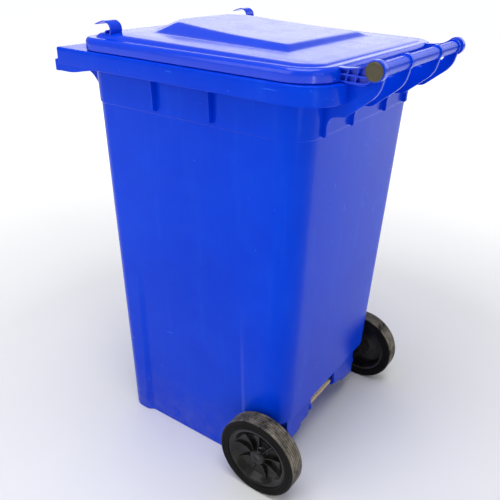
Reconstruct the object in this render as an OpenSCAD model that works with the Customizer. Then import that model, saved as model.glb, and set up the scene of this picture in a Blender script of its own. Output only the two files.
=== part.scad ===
// Two-wheeled refuse bin, about 240 litres, with a hinged lid.
// Millimetres, +Z up, front of the bin at -Y, handle bar at +Y.
// The origin is the centre of the overall box at ground level.

/* [Tub] */
// Half width of the tub at the ground
base_half_w = 233; // [215:1:240]
// Half width of the tub just under its rim
top_half_w = 259; // [250:1:262]
// Front wall at the ground, distance in front of the origin
base_front = 280.5; // [260:0.5:282]
// Front wall under the rim, distance in front of the origin
top_front = 283.5; // [280:0.5:286]
// Rear wall at the ground, distance behind the origin
base_rear = 207.5; // [200:0.5:225]
// Rear wall under the rim, distance behind the origin
top_rear = 243.5; // [234:0.5:250]
// Wall thickness of the tub
wall = 4.5; // [3.5:0.1:6]
// Height of the rim's top face above the ground
rim_z = 965; // [780:1:1150]
// Height of the hollow under the floor
foot_h = 8; // [5:1:14]
// Distance from the rim down to the edge of the collar
collar_drop = 107; // [90:1:125]
// How far the collar stands proud of the wall
collar_step = 2.5; // [1:0.1:4]
// Height at which the side panels start to be set in
panel_top = 500; // [350:1:600]
// Depth of a side panel at the ground
panel_depth = 9; // [4:0.5:12]

/* [Rim] */
// How far the rim stands out past the tub's wall at the sides
rim_side = 28; // [25:1:41]
// How far the rim stands out past the tub's front wall
rim_fore = 74; // [68.5:0.5:96.5]
// How far the rim stands out past the tub's rear wall
rim_aft = 49; // [45.5:0.5:56.5]
// Depth of the rim's skirt
rim_skirt = 36; // [28:1:45]
// Thickness of the rim
rim_t = 4; // [3:0.1:5]
// Depth of the lifting lip along the front
lip_drop = 49; // [44:1:60]
// How far the lower lip stands in front of the rim
lip_step = 7; // [4:1:9]
// Height of the bead that the lid closes over
bead_h = 10; // [6:1:14]

/* [Handle bar and hinge] */
// Hinge and handle bar axis, distance behind the rim's rear edge
bar_back = 53.5; // [49.5:0.5:63.5]
// Hinge and handle bar axis, height above the rim
bar_rise = 26.5; // [25:0.5:33]
// Radius of the handle bar
bar_r = 12; // [11:0.5:14]
// Radius of the rings on the bar
ring_r = 15; // [14:0.5:17]
// Centre of the inner brackets, each side of the middle
bracket_inner = 78; // [60:1:100]
// Centre of the outer brackets, each side of the middle
bracket_outer = 190; // [160:1:192]
// Thickness of a bracket
bracket_t = 9; // [6:1:12]
// Radius of the hinge pins
pin_r = 8; // [6:0.5:9]
// Radius of a hinge pin's head
pin_head_r = 16; // [14:0.5:17]
// Thickness of a hinge pin's head
pin_head_t = 5; // [3:0.5:7]
// Length of a hinge pin inside the bar
pin_seat = 60; // [40:1:80]

/* [Lid] */
// How far the lid is set in from the rim's sides
lid_side = 7; // [5:1:11]
// How far the lid's front edge is behind the rim's front face
lid_fore = 60; // [51.5:0.5:65.5]
// How far the lid's rear edge is in front of the rim's rear edge
lid_aft = 10; // [6.5:0.5:14.5]
// Wall thickness of the lid
lid_t = 3.5; // [2.5:0.1:4.5]
// Gap between the closed lid and the rim
lid_gap = 1; // [0.5:0.1:2]
// Height of the raised panel at its front, above the rim
plateau_front = 58; // [50:1:70]
// Height of the raised panel at its rear, above the rim
plateau_rear = 42; // [40:1:50]
// How much lower the lid's crown is at the rear than at the front
crown_fall = 7; // [0:0.5:8]
// Radius of the lid's front corners
lid_corner = 46; // [34:1:50]
// Width of a lid arm
arm_w = 14; // [10:1:20]
// Radius of the eye at a lid arm's end
eye_r = 18.5; // [18:0.5:20]
// Width of a curled lid handle
curl_w = 31; // [24:1:40]
// Centre of a curled lid handle, distance from the lid's side
curl_in = 44; // [40:1:65]
// Centre of the handle's roll, distance behind the lid's front edge
curl_back = 64; // [55:1:80]

/* [Wheels and axle] */
// Radius of the tyres
tyre_r = 102; // [98:1:125]
// Width of the tyres
tyre_w = 46; // [38:1:50]
// Radius where the tyre sits on the rim
seat_r = 78; // [70:1:80]
// Room between a tyre and the tub's wall at the tyre's top
wheel_gap = 7; // [2:1:14]
// Axle position, distance in front of the tub's rear wall at the ground
axle_set = 24; // [13.5:0.5:33.5]
// Radius of the axle
axle_r = 10; // [8:0.5:12]
// How much larger in radius the wheel hub is than the axle
hub_over = 19; // [17:1:23]
// Number of ribs on the outside of a wheel
spokes = 9; // [6:1:12]

/* [Axle brackets] */
// Inner face of an axle bracket, distance from the middle
column_in = 62; // [50:1:70]
// Outer face of an axle bracket, distance from the middle
column_out = 178; // [165:1:186]
// Height of the open recess over the axle
recess_h = 160; // [150:1:180]
// Room in the recess in front of the axle
recess_room = 84; // [69.5:0.5:109.5]
// Lowest point of the axle brackets
column_z = 62; // [50:1:70]
// How far the axle brackets are set in from the rear wall
column_set = 14; // [8:1:18]

/* [Clearances] */
// Radial clearance of a part that turns on its pin or axle
run_gap = 0.06; // [0.03:0.01:0.1]
// Gap between pieces that move past each other
side_gap = 1; // [0.5:0.1:2]

/* [Hidden] */

blue = [0.02, 0.2, 0.85];
black = [0.05, 0.05, 0.055];
rubber = [0.2, 0.19, 0.18];
zinc = [0.68, 0.66, 0.6];
olive = [0.36, 0.35, 0.26];

rim_half_w = top_half_w + rim_side;
rim_front = top_front + rim_fore;
rim_rear = top_rear + rim_aft;
lid_half_w = rim_half_w - lid_side;
lid_front = rim_front - lid_fore;
lid_rear = rim_rear - lid_aft;
curl_x = lid_half_w - curl_in;
bar_y = rim_rear + bar_back;
bar_z = rim_z + bar_rise;
ring_over = 2;
arm_in = bracket_outer + bracket_t / 2 + ring_over + side_gap;
axle_z = tyre_r;
collar_z = rim_z - collar_drop;
// Half width of the tub at the tyres' top, in whole millimetres
wheel_side = ceil(base_half_w + (top_half_w - base_half_w) * 2 * tyre_r / collar_z);
wheel_out = wheel_side + wheel_gap + tyre_w;
axle_y = base_rear - axle_set;
recess_y = axle_y - recess_room;
hub_r = axle_r + hub_over;
floor_t = 6;
corner_steps = 7;
gusset_y = [-96.5, 47.5];
front_corner = 36;
rear_corner = 58;
rim_corner_front = 26;
rim_corner_rear = 75;
lid_corner_rear = 72;

// How far forward of the lid's rear edge an arm starts, more where it meets the rounded corner
arm_reach = max(0, arm_in + arm_w - lid_half_w + lid_corner_rear);
arm_foot = max(8, 4 + lid_corner_rear - sqrt(pow(lid_corner_rear, 2) - pow(arm_reach, 2)));
big = 2000;

// Corner of a plan outline: centre, radius and start angle of a quarter turn
function arc(cx, cy, r, a0) =
    [for (k = [0:corner_steps])
        let (a = a0 + 90 * k / corner_steps)
        [cx + r * cos(a), cy + r * sin(a)]];

// Plan outline with half width w, front f, rear b and corner radii rf and rb, anticlockwise
function plan(w, f, b, rf, rb) = concat(
    arc(w - rb, b - rb, rb, 0),
    arc(rb - w, b - rb, rb, 90),
    arc(rf - w, rf - f, rf, 180),
    arc(w - rf, rf - f, rf, 270));

// Outline in a level plane at height z, or in one that falls by fall from y0 to y1
function flat_at(z, outline) = [for (p = outline) [p[0], p[1], z]];
function falling(z, outline, fall, y0, y1) =
    [for (p = outline) [p[0], p[1], z - fall * (p[1] - y0) / (y1 - y0)]];

// Solid through a stack of plane outlines, each a list of points
module loft(levels) {
    n = len(levels[0]);
    m = len(levels);
    points = [for (level = levels) each level];
    sides = [for (k = [0:m - 2]) for (i = [0:n - 1]) each [
        [k * n + i, (k + 1) * n + i, (k + 1) * n + (i + 1) % n],
        [k * n + i, (k + 1) * n + (i + 1) % n, k * n + (i + 1) % n]]];
    bottom = [for (i = [0:n - 1]) i];
    top = [for (i = [n - 1:-1:0]) (m - 1) * n + i];
    polyhedron(points, concat(sides, [bottom, top]));
}

// Ring between two plan outlines
module ring(outer, inner, z, h)
    translate([0, 0, z])
        linear_extrude(h) difference() {
            polygon(outer);
            polygon(inner);
        }

// Flat plate drawn in Y and Z, from x to x + t
module plate_x(x, t)
    translate([x, 0, 0])
        rotate([90, 0, 90]) linear_extrude(t) children();

// Round bar along X, from x to x + len
module rod_x(x, len, r, y, z)
    translate([x, y, z])
        rotate([0, 90, 0]) cylinder(h = len, r = r, $fn = 64);

// Both sides of the bin
module both_sides() {
    children();
    mirror([1, 0, 0]) children();
}

// ---- Tub ----

// Plan outline of the tub's wall at height z, set in by inset and out by proud
function wall_at(z, inset, proud) =
    let (s = z / collar_z)
    let (w = base_half_w + (top_half_w - base_half_w) * s + proud - inset)
    let (f = base_front + (top_front - base_front) * s + proud - inset)
    let (b = base_rear + (top_rear - base_rear) * s + proud - inset)
    plan(w, f, b, front_corner - inset, rear_corner - inset);

module wall_solid(inset, z0, z1)
    loft([flat_at(z0, wall_at(z0, inset, 0)),
          flat_at(collar_z, wall_at(collar_z, inset, 0)),
          flat_at(collar_z + 2, wall_at(collar_z + 2, inset, collar_step)),
          flat_at(z1, wall_at(z1, inset, collar_step))]);

// Leaning block that sets a side panel in, deeper towards the ground
module panel_cut(inset) {
    lean = atan2(top_half_w - base_half_w, collar_z);
    lean_panel = lean + atan2(panel_depth, panel_top);
    x_top = base_half_w + (top_half_w - base_half_w) * panel_top / collar_z - inset;
    translate([x_top, -base_front + 66 - inset, panel_top])
        rotate([0, lean_panel, 0])
            translate([0, 0, -panel_top * 1.2]) cube([60, 322 + 2 * inset, panel_top * 1.2]);
}

// Open space at the foot of the rear wall, over the axle
module recess(grow)
    translate([-big / 2, recess_y - grow, -1])
        cube([big, big, recess_h + grow + 1]);

module tub_shell()
    difference() {
        wall_solid(0, 0, rim_z);
        both_sides() panel_cut(0);
        recess(0);
        difference() {
            wall_solid(wall, foot_h + floor_t, rim_z + 1);
            both_sides() panel_cut(wall);
            recess(floor_t);
        }
        translate([0, 0, -1])
            linear_extrude(foot_h + 1)
                polygon(plan(base_half_w - panel_depth - 12, base_front - 22, recess_y - 14, 20, 20));
    }

module rim() {
    mouth = wall_at(rim_z, wall, collar_step);
    outline = plan(rim_half_w, rim_front, rim_rear, rim_corner_front, rim_corner_rear);
    inside = plan(rim_half_w - rim_t, rim_front - rim_t, rim_rear - rim_t,
                  rim_corner_front - rim_t, rim_corner_rear - rim_t);
    ring(outline, mouth, rim_z - rim_t, rim_t);
    ring(outline, inside, rim_z - rim_skirt, rim_skirt);
    bead_in = lid_t + 5;
    ring(plan(lid_half_w - bead_in, lid_front - bead_in, lid_rear - bead_in - 5,
              lid_corner - bead_in, 62),
         plan(lid_half_w - bead_in - 4, lid_front - bead_in - 4, lid_rear - bead_in - 9,
              lid_corner - bead_in - 4, 58),
         rim_z - 1, bead_h + 1);
}

// Lifting lip: front board, end cheeks and the short ribs behind the board
module lifting_lip() {
    translate([-rim_half_w, -rim_front, rim_z - lip_drop])
        cube([2 * rim_half_w, rim_t, lip_drop - rim_corner_front + 14]);
    translate([-rim_half_w, -rim_front - lip_step, rim_z - lip_drop])
        cube([2 * rim_half_w, lip_step + rim_t, lip_drop / 2]);
    both_sides() {
        plate_x(rim_half_w - rim_t, rim_t) polygon([
            [-rim_front - lip_step, rim_z - lip_drop],
            [-rim_front - lip_step, rim_z - lip_drop / 2],
            [-rim_front, rim_z - lip_drop / 2],
            [-rim_front, rim_z],
            [-rim_front + 115, rim_z],
            [-rim_front + 115, rim_z - rim_skirt],
            [-top_front + 8, rim_z - rim_skirt - 4],
            [-rim_front + 52, rim_z - lip_drop]]);
        plate_x(top_half_w - 34, rim_t) polygon([
            [-rim_front, rim_z - 2],
            [-rim_front, rim_z - lip_drop],
            [-rim_front + 20, rim_z - lip_drop],
            [-rim_front + 40, rim_z - lip_drop - 9],
            [-rim_front + 56, rim_z - lip_drop - 24],
            [-rim_front + 60, rim_z - lip_drop - 35],
            [-top_front + 2, rim_z - lip_drop - 35],
            [-top_front + 2, rim_z - 2]]);
        translate([rim_half_w - rim_corner_front, -rim_front, rim_z - rim_t])
            cube([rim_corner_front, rim_corner_front, rim_t]);
    }
    for (k = [-3:3])
        translate([k * 60 - rim_t / 2, -rim_front + 1, rim_z - 22])
            cube([rim_t, rim_front - top_front, 20]);
}

// Gussets under the side of the rim
module side_gusset(y)
    translate([0, y, 0])
        rotate([90, 0, 0]) linear_extrude(rim_t) polygon([
            [top_half_w - 3, rim_z - 3],
            [rim_half_w - 1, rim_z - 3],
            [rim_half_w - 1, rim_z - rim_skirt],
            [rim_half_w - 5, rim_z - rim_skirt - 34],
            [rim_half_w - 8, rim_z - rim_skirt - 54],
            [rim_half_w - 14, rim_z - rim_skirt - 62],
            [top_half_w - 3, rim_z - rim_skirt - 64]]);

// Bracket that carries the handle bar on the rear wall
module bracket(x) {
    plate_x(x - bracket_t / 2, bracket_t) polygon([
        [top_rear - 3, rim_z - 106],
        [top_rear + 12, rim_z - 106],
        [top_rear + 12, rim_z - 84],
        [top_rear + 16, rim_z - 72],
        [top_rear + 24, rim_z - 65],
        [bar_y - 55, rim_z - 62],
        [bar_y - 5, rim_z - 22],
        [bar_y + 5, rim_z - 8],
        [bar_y + 9, rim_z + 8],
        [bar_y + 13, bar_z - 10],
        [bar_y - 13, bar_z - 10],
        [bar_y - 20, rim_z - 4],
        [rim_rear - 6, rim_z - 2],
        [top_rear - 3, rim_z - 2]]);
    rod_x(x - bracket_t / 2 - ring_over, bracket_t + 2 * ring_over, ring_r, bar_y, bar_z);
}

// Foot of a rear corner: two cheeks that hold the axle, and the web behind them
module axle_bracket() {
    cheek_t = 6;
    web_t = 5;
    web_y = base_rear - column_set;
    boss = axle_r + 8;
    for (x = [column_in, column_out - cheek_t])
        plate_x(x, cheek_t) union() {
            polygon([
                [recess_y + 26, recess_h + 3],
                [web_y, recess_h + 3],
                [web_y, axle_z - 8],
                [axle_y, axle_z - 8],
                [axle_y - boss + 2, axle_z + 8]]);
            translate([axle_y, axle_z]) circle(r = boss, $fn = 48);
        }
    translate([0, web_y + web_t, 0])
        rotate([90, 0, 0]) linear_extrude(web_t) polygon([
            [column_in, recess_h + 4],
            [column_in + 2, axle_z + 10],
            [column_in + 14, column_z + 20],
            [column_in + 48, column_z + 21],
            [column_in + 51, column_z + 8],
            [column_out - 20, column_z + 2],
            [column_out, column_z],
            [column_out, recess_h + 4]]);
}

module tub()
    color(blue) difference() {
        union() {
            tub_shell();
            rim();
            lifting_lip();
            both_sides() {
                for (y = gusset_y) side_gusset(y);
                bracket(bracket_inner);
                bracket(bracket_outer);
                axle_bracket();
            }
            rod_x(-bracket_outer, 2 * bracket_outer, bar_r, bar_y, bar_z);
        }
        both_sides() {
            rod_x(arm_in - side_gap - pin_seat, pin_seat + 1, pin_r, bar_y, bar_z);
            rod_x(column_in - 1, column_out - column_in + 2, axle_r + run_gap, axle_y, axle_z);
        }
        for (x = [-8, -30])
            translate([x, bar_y + bar_r - 5, bar_z])
                rotate([-90, 0, 0]) cylinder(h = 10, r = 1.8, $fn = 24);
    }

// ---- Lid ----

// Plan outline of the lid, set in by inset
function lid_at(inset) = plan(lid_half_w - inset, lid_front - inset, lid_rear - inset,
                              max(lid_corner - inset, 8), max(lid_corner_rear - inset, 20));

// Outside of the lid over the rim: [set in from the edge, height, share of the crown's fall]
shoulder = [[0, 17, 0], [2, 22.5, 0], [7, 26, 0], [16, 26.5, 0], [21, 26, 0],
            [25, 29, 0.4], [30, 33, 0.8], [38, 35.5, 1], [120, 37.5, 1]];

module lid_solid(inset, foot)
    loft(concat(
        [flat_at(rim_z + foot, lid_at(inset))],
        [for (s = shoulder)
            falling(rim_z + s[1] - inset, lid_at(s[0] + inset), crown_fall * s[2], -lid_front, lid_rear)]));

// Raised six-cornered panel: its outline at the foot and at the top
plateau_foot = [[-142, -224.5], [142, -224.5], [192, -186.5], [181, 163.5], [-181, 163.5], [-192, -186.5]];
plateau_top = [[-117, -182.5], [117, -182.5], [148, -121.5], [138, 136.5], [-138, 136.5], [-148, -121.5]];

function plateau_height(y, inset) =
    let (s = (y - plateau_top[0][1]) / (plateau_top[3][1] - plateau_top[0][1]))
    rim_z - inset + plateau_front + (plateau_rear - plateau_front) * s;

module plateau(inset) {
    shrink = inset * 0.8;
    foot = [for (p = plateau_foot)
        [p[0] - sign(p[0]) * shrink, p[1] - sign(p[1]) * shrink, rim_z + 28 - inset]];
    top = [for (p = plateau_top)
        [p[0] - sign(p[0]) * shrink, p[1] - sign(p[1]) * shrink, plateau_height(p[1], inset)]];
    sides = [for (i = [0:5]) each [
        [i, 6 + i, 6 + (i + 1) % 6],
        [i, 6 + (i + 1) % 6, (i + 1) % 6]]];
    bottom = [for (i = [0:5]) i];
    lid = [[6, 11, 7], [11, 8, 7], [11, 10, 8], [10, 9, 8]];
    polyhedron(concat(foot, top), concat(sides, [bottom], lid));
}

// Curled handle on a front corner of the lid: a hollow roll with a blade over it
module curl() {
    roll_y = -lid_front + curl_back;
    roll_z = rim_z + 34;
    roll_r = 8.5;
    hollow_r = 5;
    blade = [[8.3, 0], [10.8, 9], [8.6, 18], [2, 24.4], [-9, 26.8], [-22, 23.6], [-36, 17],
             [-22, 20.6], [-9, 23.4], [0, 21.2], [5.4, 16], [7, 9], [5, 0]];
    difference() {
        union() {
            rod_x(curl_x - curl_w / 2, curl_w, roll_r, roll_y, roll_z);
            plate_x(curl_x - curl_w / 2, curl_w)
                translate([roll_y, roll_z]) polygon(blade);
            translate([curl_x - curl_w / 2 + 4, roll_y - 8, rim_z + 24])
                cube([curl_w - 8, 16, 12]);
        }
        rod_x(curl_x - curl_w / 2 - 1, curl_w + 2, hollow_r, roll_y, roll_z);
    }
}

// Outline of a lid arm in Y and Z, set in by edge
module arm_outline(edge) {
    polygon([
        [lid_rear - arm_foot + edge, rim_z + 3 + edge],
        [bar_y - 14 - edge, rim_z + 3 + edge],
        [bar_y - 5 - edge, bar_z - eye_r + 2 + edge],
        [bar_y - 12 - edge, bar_z + 17 - edge],
        [bar_y - 32 + edge, rim_z + 32 - edge],
        [lid_rear - arm_foot + edge, rim_z + 26 - edge]]);
}

module arm() {
    web = 5;
    rib = 2.6;
    plate_x(arm_in, web) arm_outline(0);
    plate_x(arm_in, arm_w) difference() {
        arm_outline(0);
        arm_outline(rib);
    }
    plate_x(arm_in, arm_w) intersection() {
        arm_outline(0);
        union() {
            for (y = [lid_rear + 8, lid_rear + 21, lid_rear + 34])
                translate([y, rim_z]) square([rib, 60]);
            translate([lid_rear - 8, rim_z + 14]) square([60, rib]);
        }
    }
    rod_x(arm_in, arm_w, eye_r, bar_y, bar_z);
}

module lid()
    color(blue) difference() {
        union() {
            difference() {
                union() {
                    lid_solid(0, lid_gap);
                    plateau(0);
                }
                lid_solid(lid_t, lid_gap - 5);
                plateau(lid_t);
            }
            both_sides() {
                curl();
                arm();
            }
        }
        both_sides()
            rod_x(arm_in - 1, arm_w + 2, pin_r + run_gap, bar_y, bar_z);
    }

// ---- Hinge pins ----

module hinge_pin()
    color(olive) {
        head_x = arm_in + arm_w + side_gap / 2;
        seat_x = arm_in - side_gap - pin_seat;
        rod_x(seat_x + 1, head_x - seat_x, pin_r, bar_y, bar_z);
        translate([head_x, bar_y, bar_z])
            rotate([0, 90, 0]) rotate_extrude($fn = 96)
                polygon([[0, 0], [pin_head_r, 0], [pin_head_r, pin_head_t - 1],
                         [pin_head_r - 1, pin_head_t], [0, pin_head_t]]);
    }

module hinge_pin_right() hinge_pin();
module hinge_pin_left() mirror([1, 0, 0]) hinge_pin();

// ---- Axle and wheels ----

wheel_mid = wheel_out - tyre_w / 2;
hub_in = wheel_mid - 24;
lock_x = wheel_mid + 4;
axle_end = wheel_mid + 13;
groove_r = axle_r - 2.5;
groove_w = 6;

module axle()
    color(zinc) rotate([0, 90, 0])
        translate([-axle_z, axle_y, 0]) rotate_extrude($fn = 96)
            polygon([
                [0, -axle_end],
                [axle_r - 1.5, -axle_end],
                [axle_r, -axle_end + 1.5],
                [axle_r, -lock_x - groove_w / 2],
                [groove_r, -lock_x - groove_w / 2],
                [groove_r, -lock_x + groove_w / 2],
                [axle_r, -lock_x + groove_w / 2],
                [axle_r, lock_x - groove_w / 2],
                [groove_r, lock_x - groove_w / 2],
                [groove_r, lock_x + groove_w / 2],
                [axle_r, lock_x + groove_w / 2],
                [axle_r, axle_end - 1.5],
                [axle_r - 1.5, axle_end],
                [0, axle_end]]);

module spacer()
    color(black) difference() {
        spacer_x = column_out + side_gap / 2;
        spacer_len = hub_in - side_gap / 2 - spacer_x;
        rod_x(spacer_x, spacer_len, axle_r + 4, axle_y, axle_z);
        rod_x(spacer_x - 1, spacer_len + 2, axle_r + run_gap, axle_y, axle_z);
    }

module spacer_right() spacer();
module spacer_left() mirror([1, 0, 0]) spacer();

// Places a shape drawn about +Z on the axle, its +Z along +X
module on_axle(x)
    translate([x, axle_y, axle_z])
        rotate([0, 90, 0]) children();

pin_stem = 2.5;
pin_collar = 4;
collar_at = axle_r + 5;
spring_at = collar_at + 2;
pocket_end = axle_r + 16.5;

// Pocket in the back of the hub that the lock pin and its spring slide into
module lock_pocket() {
    slot = lock_x - hub_in + 1;
    for (s = [[pin_stem + run_gap, 0, pocket_end - 1], [pin_collar + run_gap, collar_at, pocket_end]]) {
        translate([hub_in - 1, axle_y - s[0], axle_z + s[1]])
            cube([slot, 2 * s[0], s[2] - s[1]]);
        translate([lock_x, axle_y, axle_z + s[1]])
            cylinder(h = s[2] - s[1], r = s[0], $fn = 48);
    }
}

module wheel_rim() {
    half_w = tyre_w / 2 - 3;
    hub_out = axle_end + 5 - wheel_mid;
    color(black) difference() {
        union() {
            on_axle(wheel_mid) rotate_extrude($fn = 128)
                polygon([
                    [0, -24],
                    [hub_r, -24],
                    [hub_r, -6],
                    [seat_r - 9, -2],
                    [seat_r - 7, -half_w],
                    [seat_r + 1.5, -half_w],
                    [seat_r + 1.5, -half_w + 2],
                    [seat_r, -half_w + 4],
                    [seat_r, half_w - 4],
                    [seat_r + 1.5, half_w - 2],
                    [seat_r + 1.5, half_w],
                    [seat_r - 5, half_w],
                    [seat_r - 9, half_w - 3],
                    [seat_r - 22, 2.5],
                    [hub_r - 6, 0],
                    [hub_r - 9, hub_out - 4],
                    [hub_r - 12, hub_out],
                    [0, hub_out]]);
            for (k = [0:spokes - 1])
                on_axle(wheel_mid) rotate([0, 0, k * 360 / spokes])
                    rotate([90, 0, 0]) translate([0, 0, -1.4])
                        linear_extrude(2.8) polygon([
                            [hub_r - 12, -1],
                            [hub_r - 12, hub_out - 3],
                            [hub_r + 2, 9],
                            [seat_r - 18, 9],
                            [seat_r - 7, half_w - 4],
                            [seat_r - 7, -1]]);
        }
        on_axle(hub_in - 1) cylinder(h = axle_end + 1 - hub_in + 1, r = axle_r + run_gap, $fn = 64);
        lock_pocket();
    }
}

module wheel_rim_right() wheel_rim();
module wheel_rim_left() mirror([1, 0, 0]) wheel_rim();

// Solid rubber tyre: rings round the side walls and fine grooves round the tread
module tyre() {
    half_w = tyre_w / 2;
    seat_half = half_w - 3;
    ring_rise = 1.2;
    rings = [tyre_r - 17, tyre_r - 13, tyre_r - 9];
    grooves = [-9, -3, 3, 9];
    left = [for (r = rings) each [
        [r - 1.2, -half_w],
        [r - 0.6, -half_w + ring_rise],
        [r + 0.6, -half_w + ring_rise],
        [r + 1.2, -half_w]]];
    tread = [for (g = grooves) each [
        [tyre_r, g - 0.8], [tyre_r - 1, g - 0.4], [tyre_r - 1, g + 0.4], [tyre_r, g + 0.8]]];
    right = [for (k = [len(left) - 1:-1:0]) [left[k][0], -left[k][1]]];
    color(rubber) on_axle(wheel_mid) rotate_extrude($fn = 128)
        polygon(concat(
            [[seat_r, -seat_half + 4], [seat_r + 1.5, -seat_half + 2], [seat_r + 1.5, -half_w + 1],
             [seat_r + 2.5, -half_w]],
            left,
            [[tyre_r - 4.5, -half_w], [tyre_r - 1.5, -half_w + 2], [tyre_r, -half_w + 6]],
            tread,
            [[tyre_r, half_w - 6], [tyre_r - 1.5, half_w - 2], [tyre_r - 4.5, half_w]],
            right,
            [[seat_r + 2.5, half_w], [seat_r + 1.5, half_w - 1], [seat_r + 1.5, seat_half - 2],
             [seat_r, seat_half - 4]]));
}

module tyre_right() tyre();
module tyre_left() mirror([1, 0, 0]) tyre();

// Spring-loaded pin that drops into the axle's groove and holds the wheel on
module lock_pin()
    color(zinc) translate([lock_x, axle_y, axle_z]) {
        translate([0, 0, groove_r + 0.1])
            cylinder(h = spring_at - groove_r - 0.1, r = pin_stem, $fn = 48);
        translate([0, 0, collar_at + 0.1])
            cylinder(h = spring_at - collar_at - 0.1, r = pin_collar, $fn = 48);
        translate([0, 0, spring_at - 0.5]) cylinder(h = 4, r = 1.6, $fn = 32);
    }

module lock_pin_right() lock_pin();
module lock_pin_left() mirror([1, 0, 0]) lock_pin();

// Coil spring: a round wire swept along a helix
module lock_spring() {
    turns = 4;
    steps = 14;
    wire = 0.45;
    coil_r = 2.9;
    sides = 6;
    z0 = spring_at + wire + 0.05;
    z1 = pocket_end - wire - 0.05;
    count = turns * steps;
    points = [for (k = [0:count]) for (j = [0:sides - 1])
        let (a = 360 * k / steps)
        let (r = coil_r + wire * cos(360 * j / sides))
        [r * cos(a), r * sin(a), z0 + (z1 - z0) * k / count + wire * sin(360 * j / sides)]];
    walls = [for (k = [0:count - 1]) for (j = [0:sides - 1]) each [
        [k * sides + j, (k + 1) * sides + j, (k + 1) * sides + (j + 1) % sides],
        [k * sides + j, (k + 1) * sides + (j + 1) % sides, k * sides + (j + 1) % sides]]];
    start = [for (j = [0:sides - 1]) j];
    end = [for (j = [sides - 1:-1:0]) count * sides + j];
    color(zinc) translate([lock_x, axle_y, axle_z])
        polyhedron(points, concat(walls, [start, end]));
}

module lock_spring_right() lock_spring();
module lock_spring_left() mirror([1, 0, 0]) lock_spring();

tub();
lid();
hinge_pin_left();
hinge_pin_right();
axle();
spacer_left();
spacer_right();
wheel_rim_left();
wheel_rim_right();
tyre_left();
tyre_right();
lock_pin_left();
lock_pin_right();
lock_spring_left();
lock_spring_right();
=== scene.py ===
"""Two-wheeled refuse bin: smooth moulded surfaces and procedural finishes over its engineering model.

The panel's settings are in metres. The surface functions work in millimetres, as the part's drawing does,
and each mesh is scaled once, where it is made."""
from types import SimpleNamespace

import bpy
from mathutils import Matrix, Vector
import numpy as np


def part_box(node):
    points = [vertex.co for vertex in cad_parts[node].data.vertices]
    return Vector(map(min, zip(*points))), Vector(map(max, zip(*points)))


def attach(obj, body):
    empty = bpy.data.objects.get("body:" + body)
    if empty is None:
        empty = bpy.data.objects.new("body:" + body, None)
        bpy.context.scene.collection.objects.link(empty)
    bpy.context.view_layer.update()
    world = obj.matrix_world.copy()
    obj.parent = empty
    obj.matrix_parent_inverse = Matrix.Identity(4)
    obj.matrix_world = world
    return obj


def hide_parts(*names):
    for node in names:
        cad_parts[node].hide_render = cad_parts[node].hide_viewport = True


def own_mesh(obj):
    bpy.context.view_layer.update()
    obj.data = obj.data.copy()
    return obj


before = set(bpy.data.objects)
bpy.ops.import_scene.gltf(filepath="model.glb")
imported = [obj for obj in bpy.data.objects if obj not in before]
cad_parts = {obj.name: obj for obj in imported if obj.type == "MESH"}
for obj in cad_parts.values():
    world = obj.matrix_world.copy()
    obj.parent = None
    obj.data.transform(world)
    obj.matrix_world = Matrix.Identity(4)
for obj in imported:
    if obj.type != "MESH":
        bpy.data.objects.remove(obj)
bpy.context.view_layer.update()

bl_info = {
    "name": "Two-wheeled refuse bin",
    "version": (1, 0, 0),
    "blender": (4, 5, 0),
    "location": "View3D > Sidebar > Bin",
    "description": "Builds the visual model of a two-wheeled refuse bin over its engineering model",
    "category": "Object",
}


def length(name, default, description):
    """A length setting in metres."""
    return bpy.props.FloatProperty(name=name, description=description, default=default, min=0.0,
                                   unit="LENGTH")


def colour(name, default, description):
    """A colour setting."""
    return bpy.props.FloatVectorProperty(
        name=name, description=description, default=default, size=3, min=0.0, max=1.0, subtype="COLOR")


class TubSizes(bpy.types.PropertyGroup):
    """Sizes of the tub, its rim and its brackets"""
    base_half: length("Half width at the ground", 0.233, "Half of the tub's width at the ground")
    top_half: length("Half width at the collar", 0.259, "Half of the tub's width at the collar")
    base_front: length("Front at the ground", 0.2805, "Front wall at the ground, in front of the origin")
    top_front: length("Front at the collar", 0.2835, "Front wall at the collar, in front of the origin")
    base_rear: length("Rear at the ground", 0.2075, "Rear wall at the ground, behind the origin")
    top_rear: length("Rear at the collar", 0.2435, "Rear wall at the collar, behind the origin")
    front_corner: length("Front corner", 0.036, "Radius of the front corners")
    rear_corner: length("Rear corner", 0.058, "Radius of the rear corners")
    wall: length("Wall", 0.0045, "Wall thickness")
    rim_top: length("Rim height", 0.965, "Top of the rim above the ground")
    collar: length("Collar height", 0.858, "Lower edge of the collar above the ground")
    collar_step: length("Collar step", 0.0025, "How far the collar stands proud")
    panel_top: length("Panel top", 0.5, "Height at which the side panels start to be set in")
    panel_depth: length("Panel depth", 0.009, "Depth of the side panels at the ground")
    panel_lean: length("Panel lean", 0.016, "How far the panel's front edge leans back to its top")
    rim_half: length("Rim half width", 0.287, "Half of the rim's width")
    rim_front: length("Rim front", 0.3575, "Front face of the rim, in front of the origin")
    rim_rear: length("Rim rear", 0.2925, "Rear edge of the rim, behind the origin")
    skirt: length("Rim skirt", 0.036, "Depth of the rim's skirt")
    lip_drop: length("Lip depth", 0.049, "Depth of the lifting lip")
    lip_step: length("Lip step", 0.007, "How far the lower lip stands forward")
    recess_front: length("Recess front", 0.0995, "Front of the recess over the axle, behind the origin")
    recess_top: length("Recess height", 0.16, "Height of the recess over the axle")
    bar_radius: length("Handle bar radius", 0.012, "Radius of the handle bar")
    ring_radius: length("Ring radius", 0.015, "Radius of the rings on the bar")
    bracket_inner: length("Inner brackets", 0.078, "Centre of the inner brackets from the middle")
    bracket_outer: length("Outer brackets", 0.190, "Centre of the outer brackets from the middle")


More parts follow.
